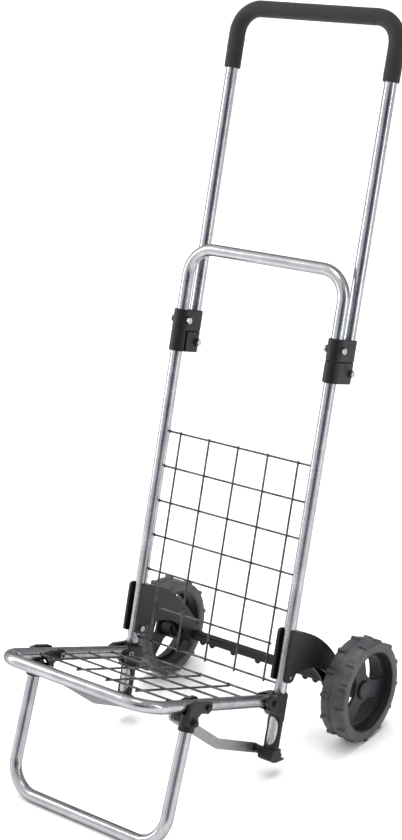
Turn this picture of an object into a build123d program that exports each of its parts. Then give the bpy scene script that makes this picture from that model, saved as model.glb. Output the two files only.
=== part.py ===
from build123d import *
import math
import os

os.makedirs("parts", exist_ok=True)

# A folding two-wheeled hand truck with a pull-out handle.
# X runs across the truck, -Y is the load side, +Z is up, and the ground is z = 0.

# ---------------------------------------------------------------- driving sizes (mm, degrees)
tube_od = 18.0
tube_wall = 1.2
frame_lean = 16.9            # main frame, back from vertical
frame_spacing = 280.0        # leg centre to leg centre
frame_top = 641.0            # top bar axis, measured up the leg from the frame base point
frame_bottom = -73.0         # lower cut end of each leg
frame_bend = 42.0            # centreline radius of the two top bends
base_height = 100.0          # height of the frame base point, on the leg axis

handle_offset = 32.0         # handle plane behind the frame plane
handle_top = 1005.0
handle_bottom = 485.0
handle_bend = 38.0
grip_od = 25.0
grip_end = 915.0             # lower end of the foam sleeve on each handle leg

wire = 3.2
mesh_pitch = 54.0
back_mesh_bottom = 34.6      # lowest row of the back mesh, up the leg
back_mesh_rows = 7
mesh_columns = 5
back_mesh_offset = 3.0       # back mesh plane behind the frame plane

platform_rise = 22.3         # platform, up toward its front
platform_spacing = 270.0
platform_front = 286.6       # front bar axis, from the hinge bolt
platform_tail = -7.5         # rear cut end of each platform tube
platform_bend = 40.0
hinge_along = 13.2           # hinge bolt, up the leg from the base point
hinge_ahead = -27.2          # hinge bolt, in front of the leg axis
platform_mesh_front = 203.6  # foremost cross wire, from the hinge bolt
platform_mesh_rows = 5

leg_spacing = 280.0
leg_pivot = (166.0, 1.0)     # fork bolt on the platform tube: along it, and above its axis
leg_pin = (194.0, -19.5)     # brace pin, on the support leg axis
leg_bend = 45.0
leg_bar_height = 9.0         # axis of the bar that stands on the ground

brace_foot = (-67.0, -5.0)   # brace pivot on the foot: up the leg, and behind its axis
brace_width = 15.0
brace_thickness = 3.0
brace_inner = 113.0          # inner face of the flat brace, from the middle
brace_bend = (71.7, -65.8)   # bend of the brace, in platform coordinates at rest

clamp_bottom = 514.0
clamp_height = 32.0
clamp_radius = 12.2
slider_bottom = 482.0
slider_height = 31.6
slit_width = 5.8

foot_radius = 11.5           # sleeve of the foot, round the leg
foot_width = 24.0
foot_top = 24.0              # upper end of the sleeve, up the leg
cheek_wall = 4.6

axle = (148.0, 80.0)         # y and z of the axle, before the origin is moved
axle_diameter = 8.0
wheel_radius = 80.0
tread_radius = 76.5
tyre_inner = 62.6
wheel_width = 42.0
wheel_clearance = 2.0        # from the axle boss to the tyre
rim_wall = 3.5
rim_inset = 1.0              # rim faces, inside the tyre's
rim_lip = 14.0               # depth of the flared outer lip
lip_flare = 2.0
step_height = 3.0            # the barrel narrows by this behind the lip
web_thickness = 4.0
hub_radius = 17.0
hub_recess = 16.6            # hub face, inside the outer face of the wheel
spoke_count = 3
lug_count = 13

weld = 0.9                   # crossing wires sink into each other by a tenth of their size
weld_gap = 0.2
platform_mesh_rear = -18.4   # rearmost cross wire, behind the hinge bolt

clamp_boss = 1.4
clamp_chamfer = 1.0
bracket_bolt_along = 49.2    # bolt of the wheel bracket, up the leg
bracket_wall = 4.5
shell = 3.5
axle_boss = 14.0
boss_length = 10.1           # axle boss, outside the bracket
beam_depth = 14.0
beam_height = 13.0
beam_teeth = (-109.0, -90.0, -48.0, 0.0, 48.0, 90.0, 109.0)
tooth_radius = 5.0
axle_reach = 4.0             # axle end, past the hub face
spoke_phase = 10.0
spoke_opening = [(-9, 21), (9, 21), (40, 40), (32, 70), (-32, 70), (-40, 40)]
bush_outer = 7.0
cap_radius = 14.0
cap_height = 5.5
cap_wall = 1.5
cleat_length = 14.0
cleat_thickness = 5.5
pad_rise = 1.0               # low pads between the cleats

bush_radius = 4.0
foot_opening = ((-22.0, -33.0), 18.8, 29.0)     # oval in front of the leg: centre (n, s), half-axes
foot_base = [(-11, -60), (-14, -69), (-14, -75), (-7, -79), (2, -80), (12, -79), (21, -78), (21, -75.5),
             (12, -74), (13, -69), (9, -65), (9, -60)]
outer_cheek = [(4, 24), (-33, 24), (-43, 21), (-45, 16), (-38, 10), (-36, 3), (-24, -1), (-12, -9), (4, -20)]
inner_cheek = [(4, 22), (-26, 22), (-35, 17), (-37, 9), (-30, 1), (-11, -3), (4, -17)]

leg_head_gap = 3.0           # leg's cut end, below the platform tube
fork_gap = 0.5
fork_wall = 6.0
fork_eye = 9.0
fork_outer_outline = [(166, 10), (190, 10), (203, 7), (208, -2), (207, -24), (183, -24), (186, -12),
                      (180, -7), (166, -7)]
fork_inner_outline = [(166, 9), (183, 8), (194, 4), (198, -3), (189, -11), (188, -24), (178, -24),
                      (180, -12), (176, -8), (166, -8)]
fork_bridge = [(178, -12), (187, -12), (187, -24), (178, -24)]
socket_radius = 11.6
socket_end = -33.0
pin_boss = 5.5

bolt = 5.0
bolt_head = 9.0
bolt_head_height = 3.0
nut_height = 4.0
fit = 0.06                   # running fit, on the radius
seat = 0.05                  # parts that are fastened together
gap = 0.4                    # faces that pass each other


# ---------------------------------------------------------------- places worked out from them
lean = math.radians(frame_lean)
rise = math.radians(platform_rise)
hinge_y = hinge_along * math.sin(lean) + hinge_ahead * math.cos(lean)
hinge_z = base_height + hinge_along * math.cos(lean) - hinge_ahead * math.sin(lean)
tube_r = tube_od / 2

# The origin stands under the middle of the whole truck's box.
front_y = hinge_y - platform_front * math.cos(rise) - tube_r
back_y = handle_top * math.sin(lean) + handle_offset * math.cos(lean) + grip_od / 2
origin_y = (front_y + back_y) / 2


def on_frame(s, n):
    """World (y, z) of a point s up the leg and n behind the leg axis."""
    y = s * math.sin(lean) + n * math.cos(lean) - origin_y
    return y, base_height + s * math.cos(lean) - n * math.sin(lean)


def on_platform(d, m):
    """World (y, z) of a point d along the platform from its hinge and m above it."""
    y = hinge_y - d * math.cos(rise) + m * math.sin(rise) - origin_y
    return y, hinge_z + d * math.sin(rise) + m * math.cos(rise)


hinge = on_platform(0, 0)
axle_y, axle_z = axle[0] - origin_y, axle[1]


def rod(x0, x1, centre, radius):
    """Round bar along X."""
    start = min(x0, x1)
    plane = Plane(origin=(start, centre[0], centre[1]), x_dir=(0, 1, 0), z_dir=(1, 0, 0))
    return extrude(plane * Circle(radius), abs(x1 - x0))


def hexagon(x0, x1, centre, across):
    """Hexagonal nut along X, sized across its flats."""
    start = min(x0, x1)
    plane = Plane(origin=(start, centre[0], centre[1]), x_dir=(0, 1, 0), z_dir=(1, 0, 0))
    return extrude(plane * RegularPolygon(across / 2, 6, major_radius=False), abs(x1 - x0))


def plate(x0, x1, points, radius=0):
    """Outline of (y, z) points, run along X, with its corners rounded."""
    start = min(x0, x1)
    plane = Plane(origin=(start, 0, 0), x_dir=(0, 1, 0), z_dir=(1, 0, 0))
    outline = make_face(Polyline(*points, close=True))
    if radius:
        outline = fillet(outline.vertices(), radius)
    return extrude(plane * outline, abs(x1 - x0))


def capsule(x0, x1, a, b, radius):
    """Flat link with round ends from a to b, run along X."""
    length = math.dist(a, b)
    ty, tz = -(b[1] - a[1]) / length * radius, (b[0] - a[0]) / length * radius
    strip = [(a[0] + ty, a[1] + tz), (b[0] + ty, b[1] + tz), (b[0] - ty, b[1] - tz), (a[0] - ty, a[1] - tz)]
    return plate(x0, x1, strip) + rod(x0, x1, a, radius) + rod(x0, x1, b, radius)


def bar(start, end, radius):
    """Round bar between two points in space."""
    a, b = Vector(*start), Vector(*end)
    return extrude(Plane(origin=a, z_dir=b - a) * Circle(radius), (b - a).length)


def u_tube(place, spacing, low, high, bend, outer, inner):
    """Round tube bent to a U: two legs from low to high in the plane that place gives."""
    half = spacing / 2
    corners = [(-half, *place(low)), (-half, *place(high)), (half, *place(high)), (half, *place(low))]
    path = FilletPolyline(*corners, radius=bend)
    first = Vector(*corners[1]) - Vector(*corners[0])
    ring = Plane(origin=corners[0], z_dir=first) * (Circle(outer) - Circle(inner))
    return sweep(ring, path=path)


def both(shape):
    """The right-hand shape and its mirror image, as two solids."""
    return Compound(children=[shape, mirror(shape, about=Plane.YZ)])


def save(shape, name):
    export_step(shape, f"parts/{name}.step")


def save_pair(shape, name):
    """One node on the right side and its mirror image on the left."""
    save(shape, f"{name}_right")
    save(mirror(shape, about=Plane.YZ), f"{name}_left")


def slot_cut(x_face, centre, direction=1):
    """Screwdriver slot in a head whose outer face is at x_face."""
    depth = 1.0
    middle = x_face - direction * depth / 2
    return Pos(middle, centre[0], centre[1]) * Box(depth + 0.02, 1.2, bolt_head * 1.2)


def through_bolt(x_head, x_end, centre, head_out=1):
    """Bolt along X with a slotted round head; head_out is the side its head faces."""
    head = rod(x_head, x_head + head_out * bolt_head_height, centre, bolt_head / 2)
    head -= slot_cut(x_head + head_out * bolt_head_height, centre, head_out)
    return head + rod(x_head, x_end, centre, bolt / 2)


def nut(x0, x1, centre, shank=bolt):
    """Hexagonal nut on a bolt."""
    return hexagon(x0, x1, centre, bolt_head) - rod(x0 - 1, x1 + 1, centre, shank / 2 + seat)


# ---------------------------------------------------------------- places across the truck
frame_x = frame_spacing / 2
bracket_in, bracket_out = frame_x - tube_r - bracket_wall, frame_x + tube_r + bracket_wall
boss_end = bracket_out + boss_length
wheel_inner = boss_end + wheel_clearance
wheel_outer = wheel_inner + wheel_width
hub_end = wheel_outer - hub_recess
axle_end = hub_end + axle_reach


# ---------------------------------------------------------------- bolts that cross a leg
bracket_bolt = on_frame(bracket_bolt_along, 0)
clamp_bolt = on_frame(clamp_bottom + clamp_height / 2, 0)
slider_bolt = on_frame(slider_bottom + slider_height / 2, handle_offset)
brace_pivot = on_frame(*brace_foot)
fork_bolt = on_platform(*leg_pivot)
brace_pin = on_platform(*leg_pin)


def leg_hole(centre, radius=bolt / 2 + seat):
    """Clearance for one bolt that crosses both sides of the truck."""
    return rod(-wheel_outer, wheel_outer, centre, radius)


def leg_bore(n, radius, low, high):
    """Bore along the right-hand leg, n behind the frame's leg axis."""
    return bar((frame_x, *on_frame(low, n)), (frame_x, *on_frame(high, n)), radius)


# ---------------------------------------------------------------- main frame
def main_frame_tube():
    tube = u_tube(lambda s: on_frame(s, 0), frame_spacing, frame_bottom, frame_top, frame_bend,
                  tube_r, tube_r - tube_wall)
    return tube - leg_hole(bracket_bolt) - leg_hole(clamp_bolt) - leg_hole(brace_pivot)


def back_mesh():
    """Welded wire panel: the rows lie behind the columns, and all but one reach the legs."""
    half = mesh_pitch * (mesh_columns - 1) / 2
    ahead = back_mesh_offset - wire * weld
    top = back_mesh_bottom + (back_mesh_rows - 1) * mesh_pitch
    panel = Part()
    for row in range(back_mesh_rows):
        end = half + wire / 2 if row == 1 else frame_x - tube_r - weld_gap
        panel += rod(-end, end, on_frame(back_mesh_bottom + row * mesh_pitch, back_mesh_offset), wire / 2)
    for column in range(mesh_columns):
        x = -half + column * mesh_pitch
        low, high = on_frame(back_mesh_bottom - wire, ahead), on_frame(top + wire, ahead)
        panel += bar((x, *low), (x, *high), wire / 2)
    return panel


# ---------------------------------------------------------------- handle clamps
clamp_out = frame_x + clamp_radius + clamp_boss
clamp_in = frame_x - clamp_radius - clamp_boss


def clamp_block(bottom, height, bolt_centre):
    """Oval block round both tubes, with a round boss for its cross bolt."""
    up = Vector(0, math.sin(lean), math.cos(lean))
    plane = Plane(origin=(frame_x, *on_frame(bottom, handle_offset / 2)), x_dir=(0, up.Z, -up.Y), z_dir=up)
    block = extrude(plane * SlotOverall(handle_offset + 2 * clamp_radius, 2 * clamp_radius), height)
    block = chamfer(block.edges(), clamp_chamfer)
    return block + rod(clamp_in, clamp_out, bolt_centre, bolt_head / 2 + 1.5)


def upper_clamp():
    """Fixed to the frame leg; the handle leg slides through it."""
    top = clamp_bottom + clamp_height
    block = clamp_block(clamp_bottom, clamp_height, clamp_bolt)
    block -= leg_bore(0, tube_r + seat, clamp_bottom - 5, top + 5)
    block -= leg_bore(handle_offset, tube_r + fit, clamp_bottom - 5, top + 5)
    return block - leg_hole(clamp_bolt)


def slider():
    """Fixed to the end of the handle leg; it slides on the frame leg, and its slit passes the mesh."""
    top = slider_bottom + slider_height
    block = clamp_block(slider_bottom, slider_height, slider_bolt)
    block -= leg_bore(0, tube_r + fit, slider_bottom - 5, top + 5)
    block -= leg_bore(handle_offset, tube_r + seat, handle_bottom, top + 5)
    middle = on_frame(slider_bottom + slider_height / 2, back_mesh_offset)
    slit = Rot(-frame_lean, 0, 0) * Box(2 * clamp_radius, slit_width, slider_height + 12)
    block -= Pos(frame_x - clamp_radius, *middle) * slit
    dimple = on_frame(top - 5, handle_offset / 2)
    block -= rod(frame_x + clamp_radius - 2, clamp_out + 1, dimple, 1.6)
    return block - leg_hole(slider_bolt)


# ---------------------------------------------------------------- foot and hinge
platform_x = platform_spacing / 2
slot_in, slot_out = platform_x - tube_r - gap, platform_x + tube_r + gap
cheek_in = slot_in - cheek_wall
foot_inner, foot_outer = frame_x - foot_width / 2, frame_x + foot_width / 2
pivot_end = foot_outer - 3


def hinge_clearance():
    """Room for the platform tube to swing between the two cheeks, from flat to folded."""
    wide, far = tube_r + gap, 90
    room = rod(slot_in, slot_out, hinge, math.hypot(platform_tail, tube_r) + gap)
    for side in (-wide, wide):
        ahead = [on_platform(0, 0), on_platform(0, side), on_platform(far, side), on_platform(far, 0)]
        along = [(0, 0), (0, side), (far, side), (far, 0)]
        up = [on_frame(hinge_along + s, hinge_ahead + n) for s, n in along]
        room += plate(slot_in, slot_out, ahead) + plate(slot_in, slot_out, up)
    between = [on_platform(0, 0), on_platform(far, 0), on_frame(hinge_along + far, hinge_ahead)]
    return room + plate(slot_in, slot_out, between)


def foot():
    """Moulded foot: a sleeve round the leg, open in front, hinge cheeks above and a hooked base below."""
    body = bar((frame_x, *on_frame(-66, 0)), (frame_x, *on_frame(foot_top, 0)), foot_radius)
    body += plate(slot_out, foot_outer, [on_frame(s, n) for n, s in outer_cheek], 2)
    body += plate(cheek_in, slot_in, [on_frame(s, n) for n, s in inner_cheek], 2)
    body += plate(cheek_in, foot_outer, [on_frame(s, n) for n, s in inner_cheek], 2)
    body += plate(foot_inner, foot_outer, [on_frame(s, n) for n, s in foot_base], 0.7)
    body -= hinge_clearance()
    (n, s), half_n, half_s = foot_opening
    tilt = Plane(origin=(0, *on_frame(s, n)), x_dir=(0, math.cos(lean), -math.sin(lean)), z_dir=(1, 0, 0))
    body -= extrude(tilt * Ellipse(half_n, half_s), wheel_outer)
    body += rod(brace_inner + brace_thickness + gap, foot_inner + 2, brace_pivot, bolt_head / 2 + 2)
    body -= leg_bore(0, tube_r + seat, frame_bottom, 60)
    return body - leg_hole(hinge) - rod(0, pivot_end, brace_pivot, bolt / 2 + seat)


def hinge_bush():
    """Plain bush through the platform tube, round the hinge bolt."""
    bush = rod(slot_in + gap, slot_out - gap, hinge, bush_radius)
    return bush - rod(slot_in - 1, slot_out + 1, hinge, bolt / 2 + fit)


# ---------------------------------------------------------------- wheel brackets and axle
axle_at = (axle_y, axle_z)


def arch(x0, x1, top, low, front, corner=0):
    """Curved web from the leg to the axle, between an upper and a lower arc."""
    plane = Plane(origin=(x0, 0, 0), x_dir=(0, 1, 0), z_dir=(1, 0, 0))
    upper, lower = [on_frame(s, n) for s, n in top], [on_frame(s, n) for s, n in low]
    sides = [on_frame(s, n) for s, n in front]
    edges = Curve() + [ThreePointArc(*upper), Line(upper[-1], lower[0]), ThreePointArc(*lower)]
    edges += Polyline(lower[-1], *sides, upper[0])
    face = make_face(edges)
    if corner:
        face = fillet([v for v in face.vertices() if is_near(v, sides)], corner)
    return extrude(plane * face, x1 - x0)


def is_near(vertex, points):
    """Whether a vertex lies at one of the (y, z) points of an outline."""
    return min(math.dist((vertex.X, vertex.Y), point) for point in points) < 0.01


def wheel_bracket():
    """Moulded arm: a channel round the leg, an arched shell behind it and the axle boss."""
    top = [(119, -3), (98, 73), (30, 157)]
    low = [(14, 138), (56, 68), (53, 14)]
    body = arch(bracket_in, bracket_out, top, low, [(42, 8), (42, -12), (118, -12)], 5)
    body += rod(bracket_in, bracket_out, bracket_bolt, 8.5)
    inner_top = [(104, 14), (92, 68), (30, 143)]
    inner_low = [(0, 138), (30, 68), (40, 14)]
    body -= arch(bracket_in + shell, bracket_out - shell, inner_top, inner_low, [(60, 14)])
    body += rod(bracket_in, boss_end, axle_at, axle_boss)
    body -= leg_bore(0, tube_r + seat, 30, 125)
    channel = [on_frame(s, n) for s, n in ((30, 0), (30, -20), (125, -20), (125, 0))]
    body -= plate(frame_x - tube_r - seat, frame_x + tube_r + seat, channel)
    return body - leg_hole(bracket_bolt) - leg_hole(axle_at, axle_diameter / 2 + seat)


def axle_beam():
    """Moulded spacer between the brackets, with rounded teeth beneath."""
    end = bracket_in - seat
    beam = Pos(0, *axle_at) * Box(2 * end, beam_depth, beam_height)
    beam = chamfer(beam.edges().filter_by(Axis.X), 2)
    for x in beam_teeth:
        corner = (x, axle_y - beam_depth / 2 + 1, axle_z - beam_height / 2)
        beam += extrude(Plane(origin=corner, z_dir=(0, 1, 0)) * Circle(tooth_radius), beam_depth - 2)
    return beam - leg_hole(axle_at, axle_diameter / 2 + seat)


def axle_rod():
    return rod(-axle_end, axle_end, axle_at, axle_diameter / 2)


# ---------------------------------------------------------------- wheels
def ring(profile):
    """Solid of revolution about the axle from (x, radius) points."""
    plane = Plane(origin=(0, *axle_at), x_dir=(1, 0, 0), z_dir=(0, -1, 0))
    face = make_face(Polyline(*[plane.from_local_coords(Vector(x, r, 0)) for x, r in profile], close=True))
    return revolve(face, Axis((0, *axle_at), (1, 0, 0)))


def tyre():
    """Tread band with two staggered rows of edge cleats and a row of low centre pads."""
    a, b = wheel_inner, wheel_outer
    band = [(a, tyre_inner), (a, tread_radius - 5), (a + 5, tread_radius), (b - 5, tread_radius),
            (b, tread_radius - 5), (b, tyre_inner)]
    body = ring(band)
    step = 360 / lug_count
    pad_length = 2 * math.pi * tread_radius / lug_count - cleat_thickness - 3
    for index in range(lug_count):
        for x0, x1, turn in ((a + 1, a + 1 + cleat_length, index), (b - 1 - cleat_length, b - 1, index + 0.5)):
            body += lug(x0, x1, wheel_radius, cleat_thickness, turn * step)
            body += lug(x0, x1, tread_radius + pad_rise, pad_length, (turn + 0.5) * step)
    return body


def lug(x0, x1, top, length, angle):
    """One raised block on the tread, cut to the wheel's radius."""
    block = Pos((x0 + x1) / 2, 0, tread_radius - 3) * Box(x1 - x0, length, 12)
    disc = rod(x0, x1, (0, 0), top)
    return Pos(0, *axle_at) * Rot(angle, 0, 0) * (block & disc)


def rim():
    """Rim with a flared lip, a step behind it, a three-spoke web there, and the hub."""
    a, b = wheel_inner + rim_inset, wheel_outer - rim_inset
    outer = tyre_inner - seat
    inner = outer - rim_wall
    neck = inner - step_height
    lip, web_end = b - rim_lip, b - rim_lip - web_thickness
    body = ring([(a, outer), (b, outer), (b, inner + lip_flare), (lip, inner), (lip, neck), (web_end, neck),
                 (web_end, inner), (a, inner)])
    web = ring([(web_end, hub_radius - 2), (lip, hub_radius - 2), (lip, neck + 1), (web_end, neck + 1)])
    for index in range(spoke_count):
        angle = spoke_phase + (index + 0.5) * 360 / spoke_count
        hole = plate(-8, 8, spoke_opening, 4) & rod(-8, 8, (0, 0), neck - 2)
        web -= Pos(lip, *axle_at) * Rot(angle, 0, 0) * hole
    body += web + rod(a, hub_end, axle_at, hub_radius)
    return body - rod(0, wheel_outer, axle_at, bush_outer + seat)


def hub_bush():
    sleeve = rod(wheel_inner + rim_inset, hub_end, axle_at, bush_outer)
    return sleeve - rod(0, wheel_outer, axle_at, axle_diameter / 2 + fit)


def hub_cap():
    """Push-on cap over the axle end, seated on the hub."""
    cap = rod(hub_end + seat, hub_end + cap_height, axle_at, cap_radius)
    cap = fillet(cap.edges().sort_by(Axis.X)[-1], 3)
    return cap - rod(hub_end, hub_end + cap_height - cap_wall, axle_at, bush_outer)


def axle_washer():
    washer = rod(boss_end + seat, wheel_inner + rim_inset - gap, axle_at, axle_diameter)
    return washer - rod(0, wheel_outer, axle_at, axle_diameter / 2 + seat)


def axle_clip():
    clip = rod(hub_end + gap + seat, hub_end + gap + 1.5, axle_at, axle_diameter / 2 + 2.5)
    return clip - rod(0, wheel_outer, axle_at, axle_diameter / 2 + seat)


# ---------------------------------------------------------------- handle
def handle_tube():
    tube = u_tube(lambda s: on_frame(s, handle_offset), frame_spacing, handle_bottom, handle_top,
                  handle_bend, tube_r, tube_r - tube_wall)
    return tube - leg_hole(slider_bolt)


def handle_grip():
    return u_tube(lambda s: on_frame(s, handle_offset), frame_spacing, grip_end, handle_top,
                  handle_bend, grip_od / 2, tube_r + seat)


# ---------------------------------------------------------------- platform
def platform_tube():
    tube = u_tube(lambda d: on_platform(d, 0), platform_spacing, platform_tail, platform_front,
                  platform_bend, tube_r, tube_r - tube_wall)
    return tube - leg_hole(hinge, bush_radius + seat) - leg_hole(fork_bolt, bolt / 2 + fit)


def platform_mesh():
    """Welded grille: cross wires on top, long wires beneath with their ends turned up."""
    half = mesh_pitch * (mesh_columns - 1) / 2
    pitch = (platform_mesh_front - platform_mesh_rear) / (platform_mesh_rows - 1)
    level = wire / 2
    under = level - wire * weld
    hook_radius = wire / 2 - 0.1
    grille = Part()
    for row in range(platform_mesh_rows):
        d = platform_mesh_rear + row * pitch
        end = half + wire / 2 if row == 0 else platform_x - tube_r - weld_gap
        grille += rod(-end, end, on_platform(d, level), wire / 2)
    for column in range(mesh_columns):
        x = -half + column * mesh_pitch
        rear, front = platform_mesh_rear - wire * weld, platform_mesh_front + wire * weld
        grille += bar((x, *on_platform(rear, under)), (x, *on_platform(front, under)), wire / 2)
        for d in (rear, front):
            low, high = on_platform(d, under - hook_radius), on_platform(d, level + wire / 2)
            grille += bar((x, *low), (x, *high), hook_radius)
    return grille


# ---------------------------------------------------------------- support leg
leg_x = leg_spacing / 2
leg_bar = (leg_bar_height - hinge_z - leg_pin[0] * math.sin(rise)) / math.cos(rise)
leg_top = -tube_r - leg_head_gap
fork_in, fork_out = platform_x - tube_r - fork_gap, platform_x + tube_r + fork_gap
fork_inner_face, fork_outer_face = fork_in - fork_wall, fork_out + fork_wall
socket_top = -tube_r - 1.5
pin_head = leg_x + socket_radius + 1


def support_leg_tube():
    tube = u_tube(lambda m: on_platform(leg_pin[0], m), leg_spacing, leg_top, leg_bar, leg_bend,
                  tube_r, tube_r - tube_wall)
    return tube - leg_hole(brace_pin)


def leg_fork():
    """Moulded fork astride the platform tube, with the round socket of the support leg below it."""
    body = Part()
    sides = ((fork_inner_face, fork_in, fork_inner_outline), (fork_out, fork_outer_face, fork_outer_outline))
    for x0, x1, outline in sides:
        arm = [on_platform(d, m) for d, m in outline]
        body += plate(x0, x1, arm, 1.5) + rod(x0, x1, fork_bolt, fork_eye)
    d = leg_pin[0]
    body += bar((leg_x, *on_platform(d, socket_top)), (leg_x, *on_platform(d, socket_end)), socket_radius)
    body += plate(fork_inner_face, leg_x - tube_r, [on_platform(*point) for point in fork_bridge], 1.5)
    body += rod(fork_inner_face, leg_x - tube_r, brace_pin, pin_boss)
    body += rod(leg_x + tube_r, pin_head, brace_pin, bolt_head / 2 + 1.5)
    body -= bar((leg_x, *on_platform(d, leg_top)), (leg_x, *on_platform(d, leg_top - 60)), tube_r + seat)
    return body - leg_hole(fork_bolt) - leg_hole(brace_pin)


# ---------------------------------------------------------------- folding braces
brace_outer_face = brace_inner + brace_thickness


def brace():
    """Flat steel bar, bent once, from the foot to the support leg's pin."""
    elbow = on_platform(*brace_bend)
    body = capsule(brace_inner, brace_outer_face, brace_pivot, elbow, brace_width / 2)
    body += capsule(brace_inner, brace_outer_face, elbow, brace_pin, brace_width / 2)
    body -= leg_hole(brace_pivot, bolt / 2 + fit)
    return body - leg_hole(brace_pin)


def brace_stud():
    """Stud fixed in the front eye of the brace, with its round cap on the inner side."""
    cap = rod(brace_inner - 3.5, brace_inner - seat, brace_pin, 6)
    cap = fillet(cap.edges().sort_by(Axis.X)[0], 1.5)
    return cap + rod(brace_inner - seat, fork_inner_face - gap, brace_pin, bolt / 2)


# ---------------------------------------------------------------- bolts and nuts, right-hand side
fasteners = {
    "clamp_bolts": through_bolt(clamp_out, clamp_in - nut_height, clamp_bolt),
    "clamp_nuts": nut(clamp_in - nut_height, clamp_in, clamp_bolt),
    "slider_bolts": through_bolt(clamp_out, clamp_in - nut_height, slider_bolt),
    "slider_nuts": nut(clamp_in - nut_height, clamp_in, slider_bolt),
    "hinge_bolts": through_bolt(foot_outer, cheek_in - nut_height, hinge),
    "hinge_nuts": nut(cheek_in - nut_height, cheek_in, hinge),
    "fork_bolts": through_bolt(fork_outer_face, fork_inner_face - nut_height, fork_bolt),
    "fork_nuts": nut(fork_inner_face - nut_height, fork_inner_face, fork_bolt),
    "leg_pins": through_bolt(pin_head, fork_inner_face + 1, brace_pin),
    "bracket_bolts": through_bolt(bracket_in, bracket_out + 1, bracket_bolt, -1),
    "brace_pivots": through_bolt(brace_inner - gap, pivot_end - gap, brace_pivot, -1),
}


# ---------------------------------------------------------------- write every node
save(main_frame_tube(), "main_frame_tube")
save(back_mesh(), "back_mesh")
save(axle_beam(), "axle_beam")
save(axle_rod(), "axle_rod")
save(handle_tube(), "handle_tube")
save(handle_grip(), "handle_grip")
save(platform_tube(), "platform_tube")
save(platform_mesh(), "platform_mesh")
save(support_leg_tube(), "support_leg_tube")

for name, make in (
    ("upper_clamp", upper_clamp), ("handle_slider", slider), ("foot", foot), ("hinge_bush", hinge_bush),
    ("wheel_bracket", wheel_bracket), ("tyre", tyre), ("rim", rim), ("hub_bush", hub_bush),
    ("hub_cap", hub_cap), ("leg_fork", leg_fork), ("brace", brace), ("brace_stud", brace_stud),
):
    save_pair(make(), name)

for name, shape in fasteners.items():
    save(both(shape), name)
save(both(axle_washer()), "axle_washers")
save(both(axle_clip()), "axle_clips")
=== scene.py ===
import math
import random

import bpy
import numpy as np
from mathutils import Matrix


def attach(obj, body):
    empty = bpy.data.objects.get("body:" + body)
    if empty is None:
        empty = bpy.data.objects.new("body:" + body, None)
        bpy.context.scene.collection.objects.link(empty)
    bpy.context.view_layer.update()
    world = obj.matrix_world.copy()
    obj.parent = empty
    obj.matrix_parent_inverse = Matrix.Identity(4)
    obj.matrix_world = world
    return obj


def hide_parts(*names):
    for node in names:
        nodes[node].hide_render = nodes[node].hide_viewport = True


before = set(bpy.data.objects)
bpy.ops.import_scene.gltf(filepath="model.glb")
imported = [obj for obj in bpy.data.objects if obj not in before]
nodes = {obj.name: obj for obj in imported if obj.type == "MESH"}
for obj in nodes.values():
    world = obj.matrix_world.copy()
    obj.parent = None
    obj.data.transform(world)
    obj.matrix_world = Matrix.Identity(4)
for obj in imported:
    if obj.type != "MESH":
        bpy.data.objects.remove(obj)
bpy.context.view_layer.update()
print("frame loaded:", len(nodes), "nodes")

# Lengths are metres. X runs across the truck, -Y is the load side, and the ground is z = 0.
tube = {"radius": 0.009, "lean": 16.9, "rise": 22.3, "half": 0.14}
framePlane = {"y": -0.01946, "z": 0.1}                    # foot of the leg axis
hinge = {"y": -0.041648, "z": 0.120537}                   # platform hinge bolt
axle = {"y": 0.12854, "z": 0.08}


def onFrame(along, behind):
    # a point measured up the leg and behind its axis, as (y, z)
    lean = math.radians(tube["lean"])
    y = framePlane["y"] + along * math.sin(lean) + behind * math.cos(lean)
    return y, framePlane["z"] + along * math.cos(lean) - behind * math.sin(lean)


def onPlatform(ahead, above):
    # a point measured along the platform from its hinge and above its tube axis, as (y, z)
    rise = math.radians(tube["rise"])
    y = hinge["y"] - ahead * math.cos(rise) + above * math.sin(rise)
    return y, hinge["z"] + ahead * math.sin(rise) + above * math.cos(rise)


# ---- shader maths

class Value:
    # one output socket; arithmetic on it adds Math nodes to its tree
    def __init__(self, owner, socket):
        self.owner = owner
        self.socket = socket

    def math(self, operation, *terms):
        return self.owner.add("ShaderNodeMath", {"operation": operation}, dict(enumerate(terms)))

    def __add__(self, other):
        return self.math("ADD", self, other)

    def __sub__(self, other):
        return self.math("SUBTRACT", self, other)

    def __rsub__(self, other):
        return self.math("SUBTRACT", other, self)

    def __mul__(self, other):
        return self.math("MULTIPLY", self, other)

    def size(self):
        return self.math("ABSOLUTE", self)

    def between(self, low, high):
        # 0 below low, 1 above high, smooth in the middle
        settings = {"interpolation_type": "SMOOTHSTEP"}
        return self.owner.add("ShaderNodeMapRange", settings, {0: self, 1: low, 2: high})


class Nodes:
    # an emptied node tree, and one way to add any node to it
    def __init__(self, tree):
        self.tree = tree
        tree.nodes.clear()

    def put(self, socket, value):
        if isinstance(value, Value):
            self.tree.links.new(value.socket, socket)
        elif isinstance(value, tuple) and len(value) == 3 and socket.type == "RGBA":
            socket.default_value = (*value, 1)
        else:
            socket.default_value = value

    def add(self, kind, settings=None, values=None, output=0):
        node = self.tree.nodes.new(kind)
        for key, value in (settings or {}).items():
            setattr(node, key, value)
        for key, value in (values or {}).items():
            self.put(node.inputs[key], value)
        return None if output is None else Value(self, node.outputs[output])

    def blend(self, factor, first, second):
        return self.add("ShaderNodeMix", {"data_type": "RGBA"}, {0: factor, 6: first, 7: second}, 2)

    def dot(self, first, second):
        return self.add("ShaderNodeVectorMath", {"operation": "DOT_PRODUCT"}, {0: first, 1: second}, "Value")


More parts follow.
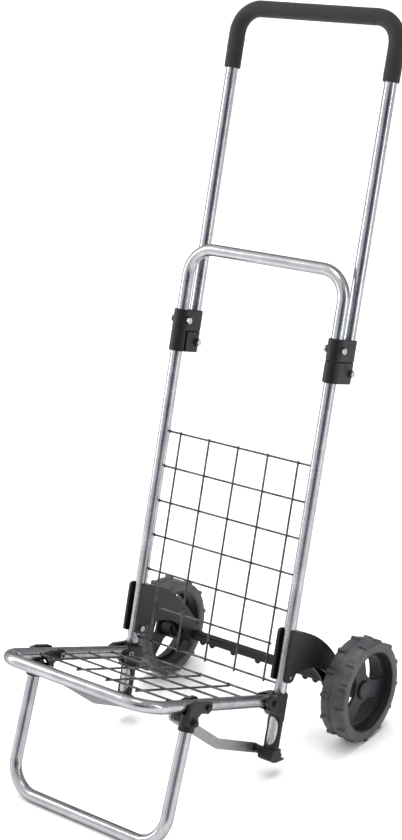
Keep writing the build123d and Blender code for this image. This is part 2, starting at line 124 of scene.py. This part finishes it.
class Finish(Nodes):
    # a Principled material whose constants are set on its sockets
    def __init__(self, name, **constants):
        self.material = bpy.data.materials.new(name)
        self.material.use_nodes = True
        super().__init__(self.material.node_tree)
        self.shader = self.tree.nodes.new("ShaderNodeBsdfPrincipled")
        output = self.tree.nodes.new("ShaderNodeOutputMaterial")
        self.tree.links.new(self.shader.outputs[0], output.inputs[0])
        for key, value in constants.items():
            self.set(key.replace("_", " "), value)

    def set(self, name, value):
        self.put(self.shader.inputs[name], value)

    def place(self, scale=(1, 1, 1), turn=0):
        # object coordinates turned about X, then scaled, so that z runs along a leg
        coordinates = self.add("ShaderNodeTexCoord", output="Object")
        turned = self.add("ShaderNodeMapping", {}, {0: coordinates, 2: (math.radians(turn), 0, 0)})
        return self.add("ShaderNodeMapping", {}, {0: turned, 3: scale})

    def noise(self, scale, stretch=(1, 1, 1), turn=0, detail=3):
        where = self.place(stretch, turn)
        return self.add("ShaderNodeTexNoise", {}, {"Vector": where, "Scale": scale, "Detail": detail})

    def pits(self, scale):
        # distance to the nearest of many scattered points
        return self.add("ShaderNodeTexVoronoi", {}, {"Vector": self.place(), "Scale": scale})

    def rounded(self, radius):
        # normals as if every edge had this radius
        return self.add("ShaderNodeBevel", {"samples": 4}, {0: radius})

    def edges(self, radius):
        # 1 on a corner, 0 on an open face: how far the rounded normal turns from the true one
        true = self.add("ShaderNodeNewGeometry", output="Normal")
        return (1 - self.dot(self.rounded(radius), true)).between(0.02, 0.25)

    def bump(self, height, distance, strength, normal=None):
        values = {"Height": height, "Distance": distance, "Strength": strength}
        if normal is not None:
            values["Normal"] = normal
        self.set("Normal", self.add("ShaderNodeBump", {}, values))


tubeLook = {"lineDensity": 1400, "lineLength": 9, "markScale": 38, "fleckScale": 620, "lineShare": 0.72,
            "dark": (0.25, 0.255, 0.27), "light": (0.5, 0.505, 0.515), "edgeTint": (0.3, 0.3, 0.32),
            "polish": 0.12, "haze": 0.1, "lineHaze": 0.14, "fleckHaze": 0.06,
            "lineHeight": 0.00006, "fleckHeight": 0.4, "strength": 0.35,
            "toneRange": (0.3, 0.7), "fleckRange": (0.66, 0.74)}


def drawnTube(name, turn, half, bend):
    # bright tube: fine draw lines along its run, which turn from leg to crossbar in the bends, and faint
    # cloudy handling marks
    look = tubeLook
    finish = Finish(name, Metallic=1.0, Specular_Tint=look["edgeTint"])
    fine, long = look["lineDensity"], look["lineLength"]
    leg = finish.noise(1, (fine, fine, long), turn, 2)
    cross = finish.noise(1, (long, fine, fine), turn, 2)
    x = finish.add("ShaderNodeSeparateXYZ", {}, {0: finish.place()}, 0)
    onLeg = x.size().between(half - bend, half)
    lines = leg * onLeg + cross * (1 - onLeg)
    marks = finish.noise(look["markScale"], detail=4)
    fleck = finish.noise(look["fleckScale"], detail=1).between(*look["fleckRange"])
    tone = lines * look["lineShare"] + marks * (1 - look["lineShare"])
    finish.set("Base Color", finish.blend(tone.between(*look["toneRange"]), look["dark"], look["light"]))
    haze = marks * look["haze"] + lines * look["lineHaze"] + fleck * look["fleckHaze"]
    finish.set("Roughness", haze + look["polish"])
    finish.bump(lines + fleck * look["fleckHeight"], look["lineHeight"], look["strength"])
    return finish.material


wireLook = {"dark": (0.04, 0.04, 0.039), "light": (0.13, 0.128, 0.124), "roughness": 0.32, "cloudScale": 90,
            "speckScale": 900, "cloudShare": 0.7, "toneRange": (0.35, 0.65),
            "cloudHaze": 0.2, "speckHaze": 0.1, "speckHeight": 0.0001, "strength": 0.3}


def platedWire():
    # dull plating: cloudy tone with small specks, darker where it has oxidised
    look = wireLook
    finish = Finish("platedWire", Metallic=1.0)
    cloud = finish.noise(look["cloudScale"], detail=4)
    speck = finish.noise(look["speckScale"], detail=2)
    tone = cloud * look["cloudShare"] + speck * (1 - look["cloudShare"])
    finish.set("Base Color", finish.blend(tone.between(*look["toneRange"]), look["dark"], look["light"]))
    haze = cloud * look["cloudHaze"] + speck * look["speckHaze"]
    finish.set("Roughness", haze + look["roughness"])
    finish.bump(speck, look["speckHeight"], look["strength"])
    return finish.material


# the paler colour (in wheelLook too) goes on random patches and on every edge, where it is partly scuffing
# and partly a painted edge highlight
mouldLook = {"body": (0.004, 0.004, 0.005), "wornAndHighlight": (0.035, 0.035, 0.038), "grain": 1500, "edge": 0.0007,
             "roughness": 0.31, "patchScale": 45, "edgeBreakupScale": 260, "edgeBreakupRange": (0.42, 0.62),
             "edgeWearAndHighlightShare": 0.7, "patchShare": 0.12, "patchHaze": 0.16, "grainHaze": 0.08,
             "scuffPolish": 0.08, "grainHeight": 0.00012, "strength": 0.45}
wheelLook = {**mouldLook, "body": (0.009, 0.0093, 0.0125), "wornAndHighlight": (0.045, 0.045, 0.052), "grain": 1100,
             "edge": 0.0009, "roughness": 0.36}


def blackMoulding(name, look):
    # satin moulded plastic: fine spark-eroded grain, paler corners that are partly scuffed and partly a
    # painted edge highlight, soft sheen patches
    finish = Finish(name, Specular_IOR_Level=0.25)
    # edge mask: scuffed corners, and also where a painted highlight runs along every edge
    edgeWearAndHighlight = finish.edges(look["edge"])
    patch = finish.noise(look["patchScale"], detail=4)
    broken = finish.noise(look["edgeBreakupScale"], detail=3).between(*look["edgeBreakupRange"])
    grain = finish.noise(look["grain"], detail=2)
    # paler colour on the edges is part scuff wear, part painted highlight; the patches are random
    wearAndHighlight = edgeWearAndHighlight * broken * look["edgeWearAndHighlightShare"] + patch * look["patchShare"]
    finish.set("Base Color", finish.blend(wearAndHighlight, look["body"], look["wornAndHighlight"]))
    haze = patch * look["patchHaze"] + grain * look["grainHaze"] - edgeWearAndHighlight * look["scuffPolish"]
    finish.set("Roughness", haze + look["roughness"])
    finish.bump(grain, look["grainHeight"], look["strength"], finish.rounded(look["edge"]))
    return finish.material


treadLook = {"body": (0.034, 0.0352, 0.039), "dust": (0.12, 0.121, 0.123), "roughness": 0.42,
             "cloudScale": 28, "gritScale": 700, "stippleScale": 1300, "dustRange": (0.38, 0.72),
             "gritRange": (0.5, 0.8), "dustShare": 0.45, "gritShare": 0.3, "cloudHaze": 0.2, "gritHaze": 0.1,
             "gritHeight": 0.00022, "stippleHeight": 0.5, "strength": 0.5}


def treadRubber():
    # grey-black tyre: moulding texture and an uneven film of dust
    look = treadLook
    finish = Finish("treadRubber", Specular_IOR_Level=0.45)
    cloud = finish.noise(look["cloudScale"], detail=5)
    grit = finish.noise(look["gritScale"], detail=3)
    stipple = finish.pits(look["stippleScale"])
    film = cloud.between(*look["dustRange"]) * look["dustShare"]
    dust = film + grit.between(*look["gritRange"]) * look["gritShare"]
    finish.set("Base Color", finish.blend(dust, look["body"], look["dust"]))
    haze = cloud * look["cloudHaze"] + grit * look["gritHaze"]
    finish.set("Roughness", haze + look["roughness"])
    finish.bump(grit + stipple * look["stippleHeight"], look["gritHeight"], look["strength"])
    return finish.material


foamLook = {"body": (0.006, 0.006, 0.0066), "pale": (0.02, 0.02, 0.0215), "roughness": 0.44,
            "cellScale": 2300, "cloudScale": 60, "drag": (700, 900, 18),
            "cellShare": 0.35, "cloudShare": 0.4, "dragShare": 0.25, "toneRange": (0.25, 0.65),
            "cloudHaze": 0.16, "dragHaze": 0.12,
            "cellHeight": 0.00035, "dragHeight": 0.6, "strength": 0.6}


def foamSkin():
    # closed-cell foam: tiny cells, faint lengthwise drag marks, a dry sheen
    look = foamLook
    finish = Finish("foamSkin", Specular_IOR_Level=0.2, Sheen_Weight=0.05, Sheen_Roughness=0.5)
    cells = finish.pits(look["cellScale"])
    cloud = finish.noise(look["cloudScale"], detail=4)
    drag = finish.noise(1, look["drag"], -tube["lean"], 2)
    tone = cells * look["cellShare"] + cloud * look["cloudShare"] + drag * look["dragShare"]
    finish.set("Base Color", finish.blend(tone.between(*look["toneRange"]), look["body"], look["pale"]))
    haze = cloud * look["cloudHaze"] + drag * look["dragHaze"]
    finish.set("Roughness", haze + look["roughness"])
    finish.bump(cells + drag * look["dragHeight"], look["cellHeight"], look["strength"])
    return finish.material


steelLook = {"dark": (0.22, 0.22, 0.225), "light": (0.4, 0.4, 0.41), "roughness": 0.36,
             "lines": (40, 60, 1300), "lineTurn": 8, "cloudScale": 55, "wornEdge": 0.0006, "edge": 0.0005,
             "lineRange": (0.3, 0.7), "lineShare": 0.5, "cloudShare": 0.2, "rubShare": 0.4,
             "cloudHaze": 0.18, "lineHaze": 0.08, "lineHeight": 0.00008, "strength": 0.4}


def flatSteel():
    # rolled strip: fine mill lines, a grey finish, brighter rubbed edges
    look = steelLook
    finish = Finish("flatSteel", Metallic=1.0)
    lines = finish.noise(1, look["lines"], look["lineTurn"], 2)
    cloud = finish.noise(look["cloudScale"], detail=4)
    rubbed = finish.edges(look["wornEdge"])
    milled = lines.between(*look["lineRange"]) * look["lineShare"]
    tone = milled + cloud * look["cloudShare"] + rubbed * look["rubShare"]
    finish.set("Base Color", finish.blend(tone, look["dark"], look["light"]))
    haze = cloud * look["cloudHaze"] + lines * look["lineHaze"]
    finish.set("Roughness", haze + look["roughness"])
    finish.bump(lines, look["lineHeight"], look["strength"], finish.rounded(look["edge"]))
    return finish.material


zincLook = {"dark": (0.3, 0.305, 0.31), "light": (0.56, 0.56, 0.555), "roughness": 0.2, "cloudScale": 420,
            "fineScale": 2600, "edge": 0.0004, "cloudHaze": 0.2, "fineHaze": 0.06,
            "fineHeight": 0.00005, "strength": 0.3}


def zincFastener():
    # bright zinc plate: duller in places, with a fine crystalline texture
    look = zincLook
    finish = Finish("zincFastener", Metallic=1.0)
    cloud = finish.noise(look["cloudScale"], detail=4)
    fine = finish.noise(look["fineScale"], detail=1)
    finish.set("Base Color", finish.blend(cloud, look["dark"], look["light"]))
    haze = cloud * look["cloudHaze"] + fine * look["fineHaze"]
    finish.set("Roughness", haze + look["roughness"])
    finish.bump(fine, look["fineHeight"], look["strength"], finish.rounded(look["edge"]))
    return finish.material


nylonLook = {"dark": (0.52, 0.52, 0.48), "light": (0.68, 0.68, 0.64), "roughness": 0.32, "cloudScale": 300,
             "rings": (3000, 60, 60), "cloudHaze": 0.15, "ringHeight": 0.00006, "strength": 0.4}


def nylonBush():
    # natural nylon: milky, slightly glossy, faint machining marks
    look = nylonLook
    finish = Finish("nylonBush", Subsurface_Weight=0.1, Subsurface_Scale=0.002)
    cloud = finish.noise(look["cloudScale"], detail=3)
    rings = finish.noise(1, look["rings"], 0, 1)
    finish.set("Base Color", finish.blend(cloud, look["dark"], look["light"]))
    finish.set("Roughness", cloud * look["cloudHaze"] + look["roughness"])
    finish.bump(rings, look["ringHeight"], look["strength"])
    return finish.material


lean, rise = tube["lean"], tube["rise"]
finishes = {
    "frameTube": drawnTube("frameTube", turn=-lean, half=0.14, bend=0.042),
    "handleTube": drawnTube("handleTube", turn=-lean, half=0.14, bend=0.038),
    "platformTube": drawnTube("platformTube", turn=90 - rise, half=0.135, bend=0.04),
    "supportTube": drawnTube("supportTube", turn=rise, half=0.14, bend=0.045),
    "wire": platedWire(),
    "moulding": blackMoulding("blackMoulding", mouldLook),
    "tread": treadRubber(),
    "wheel": blackMoulding("wheelPlastic", wheelLook),
    "foam": foamSkin(),
    "flat": flatSteel(),
    "zinc": zincFastener(),
    "nylon": nylonBush(),
}
print("finishes made:", len(finishes))

wornBy = {
    "frameTube": ["main_frame_tube"], "handleTube": ["handle_tube"], "platformTube": ["platform_tube"],
    "supportTube": ["support_leg_tube"], "wire": ["back_mesh", "platform_mesh"],
    "moulding": ["upper_clamp", "handle_slider", "foot", "wheel_bracket", "axle_beam", "leg_fork",
                 "hinge_bolts", "fork_bolts", "leg_pins"],
    "tread": ["tyre"], "wheel": ["rim", "hub_cap"], "foam": ["handle_grip"],
    "flat": ["brace_left", "brace_right"],
    "zinc": ["nuts", "clamp_bolts", "slider_bolts", "bracket_bolts", "pivots", "washers", "clips",
             "axle_rod", "brace_stud"],
    "nylon": ["bush"],
}
for finishName, words in wornBy.items():
    for nodeName, node in nodes.items():
        if any(word in nodeName for word in words):
            node.data.materials.clear()
            node.data.materials.append(finishes[finishName])


# ---- surfaces

def addObject(name, data):
    thing = bpy.data.objects.new(name, data)
    bpy.context.scene.collection.objects.link(thing)
    return thing


def surface(name, points, finish):
    # quads over a grid of points[along, across] that wraps round both ways
    rows, columns = points.shape[:2]
    a, b = np.arange(rows)[:, None], np.arange(columns)[None, :]
    nextA, nextB = (a + 1) % rows, (b + 1) % columns
    corners = [a * columns + b, a * columns + nextB, nextA * columns + nextB, nextA * columns + b]
    quads = np.stack([np.broadcast_to(c, (rows, columns)) for c in corners], -1).reshape(-1, 4)
    return meshPiece(name, points.reshape(-1, 3), quads, finish)


def meshPiece(name, vertices, quads, finish):
    mesh = bpy.data.meshes.new(name)
    mesh.vertices.add(len(vertices))
    mesh.vertices.foreach_set("co", np.asarray(vertices, np.float32).ravel())
    mesh.loops.add(quads.size)
    mesh.loops.foreach_set("vertex_index", quads.ravel().astype(np.int32))
    mesh.polygons.add(len(quads))
    mesh.polygons.foreach_set("loop_start", np.arange(0, quads.size, 4, dtype=np.int32))
    mesh.polygons.foreach_set("use_smooth", np.ones(len(quads), bool))
    mesh.update(calc_edges=True)
    mesh.validate()
    mesh.materials.append(finishes[finish])
    return addObject(name, mesh)


def step(x, low, high):
    # smooth step from 0 at low to 1 at high
    t = np.clip((x - low) / (high - low), 0, 1)
    return t * t * (3 - 2 * t)


# ---- foam sleeve on the handle

grip = {"low": 0.915, "high": 1.005, "bend": 0.038, "behind": 0.032, "outer": 0.0125, "inner": 0.00905,
        "endRound": 0.0016, "stations": 400, "boreStations": 120, "around": 56, "lump": 0.00012,
        "crease": 0.00028, "creaseCount": 9, "creaseSide": (0.2, 0.9), "creaseSharp": 8, "longWave": 83,
        "shortWave": 210, "endStep": 0.7}


def sleevePath(length):
    # centreline of the grip by distance: leg, quarter circle, bar, quarter circle, leg
    leg = grip["high"] - grip["low"] - grip["bend"]
    quarter = grip["bend"] * math.pi / 2
    bar = 2 * (tube["half"] - grip["bend"])
    total = 2 * (leg + quarter) + bar
    s = np.asarray(length)
    mirrored = s > total / 2
    d = np.where(mirrored, total - s, s)
    angle = np.clip((d - leg) / grip["bend"], 0, math.pi / 2)
    rest = np.clip(d - leg - quarter, 0, None)
    x = -tube["half"] + grip["bend"] * (1 - np.cos(angle)) + rest
    up = grip["low"] + np.minimum(d, leg) + grip["bend"] * np.sin(angle)
    inward = np.stack([np.cos(angle), -np.sin(angle)], -1)      # from the path towards the bend's centre
    side = np.where(mirrored, -1, 1)
    return np.stack([x * side, up], -1), inward * np.stack([side, np.ones_like(side)], -1), angle, total


def foamSleeve():
    # closed skin: out along the sleeve's outside, round its end, back along its bore
    total = sleevePath(0)[3]
    turn = np.linspace(0, 2 * math.pi, grip["around"], endpoint=False)
    endRound, wall, bore = grip["endRound"], grip["outer"] - grip["inner"], grip["boreStations"]
    out = np.linspace(endRound, total - endRound, grip["stations"])
    curl = np.linspace(0, math.pi / 2, 6)[1:]
    s = np.concatenate([out, total - endRound + endRound * np.sin(curl), [total],
                        np.linspace(total, 0, bore), [0], endRound * (1 - np.sin(curl[::-1]))])
    drop = np.concatenate([out * 0, endRound * (1 - np.cos(curl)), [wall * grip["endStep"]],
                           np.full(bore, wall), [wall * grip["endStep"]],
                           endRound * (1 - np.cos(curl[::-1]))])
    centre, inward, angle, _ = sleevePath(s)
    skin = np.concatenate([np.ones(len(out)), np.zeros(len(s) - len(out))])[:, None]
    # lumps are two wandering waves multiplied; creases are sharp waves on the inner side of both bends
    run, bend = s[:, None], angle[:, None]
    shortWave = np.sin(run * grip["shortWave"] + 3 * np.cos(turn))
    lumps = shortWave * np.sin(run * grip["longWave"] + 5 * np.sin(turn * 2))
    inBend = np.sin(2 * bend) ** 2 * step(np.cos(turn), *grip["creaseSide"])
    creases = inBend * np.sin(bend * 2 * grip["creaseCount"]) ** grip["creaseSharp"]
    radius = grip["outer"] - drop[:, None] - skin * (grip["lump"] * (1 + lumps) + grip["crease"] * creases)
    across = radius * np.cos(turn)
    behind = grip["behind"] + radius * np.sin(turn)
    x = centre[:, :1] + inward[:, :1] * across
    up = centre[:, 1:] + inward[:, 1:] * across
    y, z = onFrame(up, behind)
    return surface("foamSleeve", np.stack([x, y, z], -1), "foam")


sleeve = foamSleeve()
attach(sleeve, "handle")
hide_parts("handle_grip")
print("foam sleeve made")


# ---- tyres

tread = {"inner": 0.16562, "width": 0.04196, "bore": 0.06262, "floor": 0.0762, "crown": 0.0016,
         "shoulder": 0.0738, "lugs": 13, "inset": 0.001, "long": 0.014, "thick": 0.0055, "top": 0.07995,
         "padHigh": 0.0009, "padGap": 0.0016, "soft": 0.0005, "groove": 0.0004, "bulge": 0.0007,
         "wallInset": 0.0009, "boreInset": 0.0008, "corner": 0.0004, "wallRows": 6, "boreRows": 9}
tread["pitch"] = 2 * math.pi / tread["lugs"]


def softEdge(place):
    # four stations that carry the soft corner of a block
    soft = tread["soft"]
    return [place - soft, place - soft / 3, place + soft / 3, place + soft]


def turnStations():
    # angles round the wheel, close together at each side of every lug and pad, in both staggered rows
    soft, thick, gap = tread["soft"], tread["thick"] / 2, tread["padGap"]
    arc = tread["pitch"] * tread["floor"]
    stops = [0, thick * 0.4, thick * 0.75, *softEdge(thick), *softEdge(thick + gap)]
    stops = np.array(stops + list(np.linspace(thick + gap + 2 * soft, arc / 4, 5)))
    bothRows = np.concatenate([stops, arc / 2 - stops, arc / 2 + stops, arc - stops])
    onePitch = np.unique(bothRows % arc) / tread["floor"]
    return (np.arange(tread["lugs"])[:, None] * tread["pitch"] + onePitch).ravel()


def acrossStations():
    # distances across the tread from its inner face, close together at the lugs' ends
    soft, middle, lugEnd = tread["soft"], tread["width"] / 2, tread["inset"] + tread["long"]
    onLug = np.linspace(tread["inset"] + 3 * soft, lugEnd - 3 * soft, 7)
    near = [softEdge(tread["inset"]), onLug, softEdge(lugEnd), [lugEnd + 3 * soft, middle * 0.9]]
    near = np.unique(np.concatenate(near))
    return np.concatenate([near, [middle], tread["width"] - near[::-1]])


def block(distance, half):
    # 1 within half of the middle, soft at the edge
    return 1 - step(np.abs(distance), half - tread["soft"], half + tread["soft"])


def treadRadius(x, turn):
    # a faint crown and, from each face, a row of lugs, pads between them and a groove at their inner ends
    pitch, long, soft = tread["pitch"], tread["long"], tread["soft"]
    padHalf = pitch * tread["floor"] / 2 - tread["thick"] / 2 - tread["padGap"]
    crown = tread["floor"] - tread["crown"] * np.abs(2 * x / tread["width"] - 1) ** 4
    height = 0
    for fromFace, phase in ((x, 0), (tread["width"] - x, pitch / 2)):
        row = block(fromFace - tread["inset"] - long / 2, long / 2)
        offset = (turn - phase + pitch / 2) % pitch - pitch / 2
        between = (turn - phase) % pitch - pitch / 2
        lug = row * block(offset * tread["floor"], tread["thick"] / 2)
        pad = row * block(between * tread["floor"], padHalf)
        groove = block(fromFace - tread["inset"] - long - soft, soft)
        height = height + (tread["top"] - crown) * lug + tread["padHigh"] * pad - tread["groove"] * groove
    return crown + height


def wallSection():
    # (x, radius) down the outer side wall, back along the bore and up the inner one
    bulge = tread["bulge"] * np.sin(np.linspace(0, math.pi, tread["wallRows"]))
    boreX = np.linspace(tread["width"] - tread["boreInset"], tread["boreInset"], tread["boreRows"])
    corner, inset, bore = tread["corner"], tread["wallInset"], tread["bore"]
    wall = np.linspace(tread["shoulder"], bore + 3 * corner, tread["wallRows"])
    x = [tread["width"] - inset + bulge, [tread["width"] - corner], boreX, [corner], inset - bulge[::-1]]
    radius = [wall, [bore + corner], np.full(tread["boreRows"], bore), [bore + corner], wall[::-1]]
    return np.concatenate(x), np.concatenate(radius)


def tyreSkin(name, side):
    # one closed cross-section at each angle round the axle
    turn, across = turnStations()[:, None], acrossStations()[None, :]
    wallX, wallRadius = wallSection()
    every = (len(turn), 1)
    radius = np.concatenate([treadRadius(across, turn), np.tile(wallRadius, every)], 1)
    x = np.concatenate([np.tile(across, every), np.tile(wallX, every)], 1)
    points = np.stack([side * (tread["inner"] + x), axle["y"] + radius * np.cos(turn),
                       axle["z"] + radius * np.sin(turn)], -1)
    return surface(name, points[:, ::-side], "tread")


for sideName, side in (("left", -1), ("right", 1)):
    tyre = tyreSkin("tyreSkin_" + sideName, side)
    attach(tyre, "wheel_" + sideName)
    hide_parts("tyre_" + sideName)
print("tyres made")


# ---- weld nuggets

weld = {"pitch": 0.054, "columns": 5, "crossing": (0.0021, 0.0019, 0.0021), "end": (0.0016, 0.0021, 0.0027),
        "vary": (0.9, 1.1), "sink": 0.0002, "cells": 4}

# first row and spacing up the panel, heights of the two kinds of nugget, and the row that stops short of
# the tube
backPanel = {"body": "frame", "place": onFrame, "first": 0.0346, "rows": 7, "spacing": 0.054,
             "crossing": 0.0016, "level": 0.003, "short": 1, "half": 0.14, "turn": -lean}
platformPanel = {"body": "platform", "place": onPlatform, "first": -0.0184, "rows": 5, "spacing": 0.0555,
                 "crossing": 0.0002, "level": 0.0016, "short": 0, "half": 0.135, "turn": rise}


def ballMesh(cells):
    # a cube's six grids pushed out onto a unit sphere, with the shared edge points joined
    t = np.linspace(-1, 1, cells + 1)
    u, v = np.meshgrid(t, t, indexing="ij")
    points, quads = [], []
    a, b = np.arange(cells)[:, None], np.arange(cells)[None, :]
    corner = (a * (cells + 1) + b).ravel()
    square = np.stack([corner, corner + cells + 1, corner + cells + 2, corner + 1], -1)
    for axis in range(3):
        for sign in (-1, 1):
            face = np.zeros((cells + 1, cells + 1, 3))
            face[..., axis], face[..., (axis + 1) % 3], face[..., (axis + 2) % 3] = sign, u * sign, v
            quads.append(square + len(points) * (cells + 1) ** 2)
            points.append(face.reshape(-1, 3))
    everyPoint, joined = np.unique(np.round(np.concatenate(points), 6), axis=0, return_inverse=True)
    ball = everyPoint / np.linalg.norm(everyPoint, axis=1, keepdims=True)
    return ball, joined.ravel()[np.concatenate(quads)]


def blobs(name, centres, sizes, turn, finish):
    # flattened balls: a small sphere scaled by its own three half-sizes and turned about X
    ball, quads = ballMesh(weld["cells"])
    c, s = math.cos(math.radians(turn)), math.sin(math.radians(turn))
    spin = np.array([[1, 0, 0], [0, c, -s], [0, s, c]])
    shapes = ball[None] * np.asarray(sizes)[:, None, :] @ spin.T + np.asarray(centres)[:, None, :]
    everyQuad = quads[None] + (np.arange(len(centres)) * len(ball))[:, None, None]
    return meshPiece(name, shapes.reshape(-1, 3), everyQuad.reshape(-1, 4), finish)


def weldPiece(name, panel):
    # a nugget at each crossing, and a longer one where a wire meets the tube
    random.seed(7)
    place = panel["place"]
    columns = [(k - (weld["columns"] - 1) / 2) * weld["pitch"] for k in range(weld["columns"])]
    edge = panel["half"] - tube["radius"] - weld["sink"]
    centres, sizes = [], []
    for index in range(panel["rows"]):
        row = panel["first"] + index * panel["spacing"]
        for x in columns:
            centres.append((x, *place(row, panel["crossing"])))
            grow = random.uniform(*weld["vary"])
            sizes.append([length * grow for length in weld["crossing"]])
        if index == panel["short"]:
            continue
        for side in (-1, 1):
            centres.append((side * edge, *place(row, panel["level"])))
            wide, behind, along = weld["end"]
            sizes.append((wide, behind * random.uniform(*weld["vary"]), along))
    piece = blobs(name, centres, sizes, panel["turn"], "wire")
    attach(piece, panel["body"])


weldPiece("backWelds", backPanel)
weldPiece("platformWelds", platformPanel)
print("weld nuggets made")


# ---- camera, light and floor

view = {"at": (1.4805, -1.88596, 1.3904), "right": (0.79209, 0.60979, -0.02733),
        "up": (-0.18921, 0.28785, 0.93880), "back": (0.58033, -0.73844, 0.34338), "lens": 76.29,
        "sensor": 36}


def makeCamera():
    data = bpy.data.cameras.new("camera")
    data.lens = view["lens"]
    data.sensor_width = view["sensor"]
    camera = addObject("camera", data)
    rows = zip(view["right"], view["up"], view["back"], view["at"])
    camera.matrix_world = Matrix([list(row) for row in rows] + [[0, 0, 0, 1]])
    bpy.context.scene.camera = camera


room = {"dark": (0.60, -0.80, 0.05), "left": (-0.79, -0.61, 0.1), "up": (0, 0, 1), "tint": (0.45, 0.6, 1.0),
        "darkEdge": (0.8, 0.985), "leftEdge": (0.05, 0.75), "upEdge": (0.25, 0.9),
        "base": 0.5, "leftGlow": 0.7, "upGlow": 0.25, "darkDrop": 0.42}

sky = {"power": 2.3, "spread": 55, "tilt": (-14, -10, 0)}

lamps = {
    "overhead": {"at": (0.2, -0.4, 2.6), "target": (0, 0, 0.4), "size": (0.9, 0.9), "power": 12},
    "leftBox": {"at": (-2.2, -1.2, 1.5), "target": (0, 0, 0.5), "size": (0.6, 2.4), "power": 34},
    "rightBox": {"at": (2.3, 0.4, 1.2), "target": (0, 0, 0.5), "size": (0.4, 2.0), "power": 14},
}


def makeRoom():
    # pale surroundings, white to the camera; the side the camera stands on is dark and blue, so that
    # bright tubes get a dark streak
    world = bpy.data.worlds.new("studio")
    world.use_nodes = True
    shading = Nodes(world.node_tree)
    direction = shading.add("ShaderNodeTexCoord", output="Generated")
    dark = shading.dot(direction, room["dark"]).between(*room["darkEdge"])
    left = shading.dot(direction, room["left"]).between(*room["leftEdge"])
    height = shading.dot(direction, room["up"]).between(*room["upEdge"])
    glow = left * room["leftGlow"] + height * room["upGlow"] - dark * room["darkDrop"]
    colour = shading.blend(dark, (1, 1, 1), room["tint"])
    roomLight = shading.add("ShaderNodeBackground", {}, {0: colour, 1: glow + room["base"]})
    backdrop = shading.add("ShaderNodeBackground", {}, {0: (1, 1, 1), 1: 1.0})
    seen = shading.add("ShaderNodeLightPath", output="Is Camera Ray")
    mixed = shading.add("ShaderNodeMixShader", {}, {0: seen, 1: roomLight, 2: backdrop})
    shading.add("ShaderNodeOutputWorld", {}, {0: mixed}, None)
    bpy.context.scene.world = world


def makeSky():
    # an even, soft light from above that whitens the floor and doesn't show in the tubes
    data = bpy.data.lights.new("sky", "SUN")
    data.energy = sky["power"]
    data.angle = math.radians(sky["spread"])
    lamp = addObject("sky", data)
    lamp.visible_glossy = False
    lamp.rotation_euler = [math.radians(turn) for turn in sky["tilt"]]


def makeLamp(name, settings):
    # a rectangular soft box turned to face its target
    data = bpy.data.lights.new(name, "AREA")
    data.shape = "RECTANGLE"
    data.size, data.size_y = settings["size"]
    data.energy = settings["power"]
    lamp = addObject(name, data)
    lamp.location = settings["at"]
    x, y, z = np.array(settings["target"]) - np.array(settings["at"])
    lamp.rotation_euler = (math.atan2(math.hypot(x, y), -z), 0, math.atan2(-x, y))


floor = {"half": 12.0, "cloudScale": 3, "dark": (0.88, 0.88, 0.88), "light": (0.9, 0.9, 0.9),
         "roughness": 0.7, "cloudHaze": 0.1}


def makeFloor():
    half = floor["half"]
    corners = [(-half, -half, 0), (half, -half, 0), (half, half, 0), (-half, half, 0)]
    mesh = bpy.data.meshes.new("floor")
    mesh.from_pydata(corners, [], [(0, 1, 2, 3)])
    paint = Finish("floorPaint", Specular_IOR_Level=0.2)
    cloud = paint.noise(floor["cloudScale"], detail=3)
    paint.set("Base Color", paint.blend(cloud, floor["dark"], floor["light"]))
    paint.set("Roughness", cloud * floor["cloudHaze"] + floor["roughness"])
    mesh.materials.append(paint.material)
    addObject("floor", mesh)


makeCamera()
makeRoom()
makeSky()
for lampName, lampSettings in lamps.items():
    makeLamp(lampName, lampSettings)
makeFloor()
bpy.context.scene.view_settings.view_transform = "Standard"
print("camera, light and floor made")
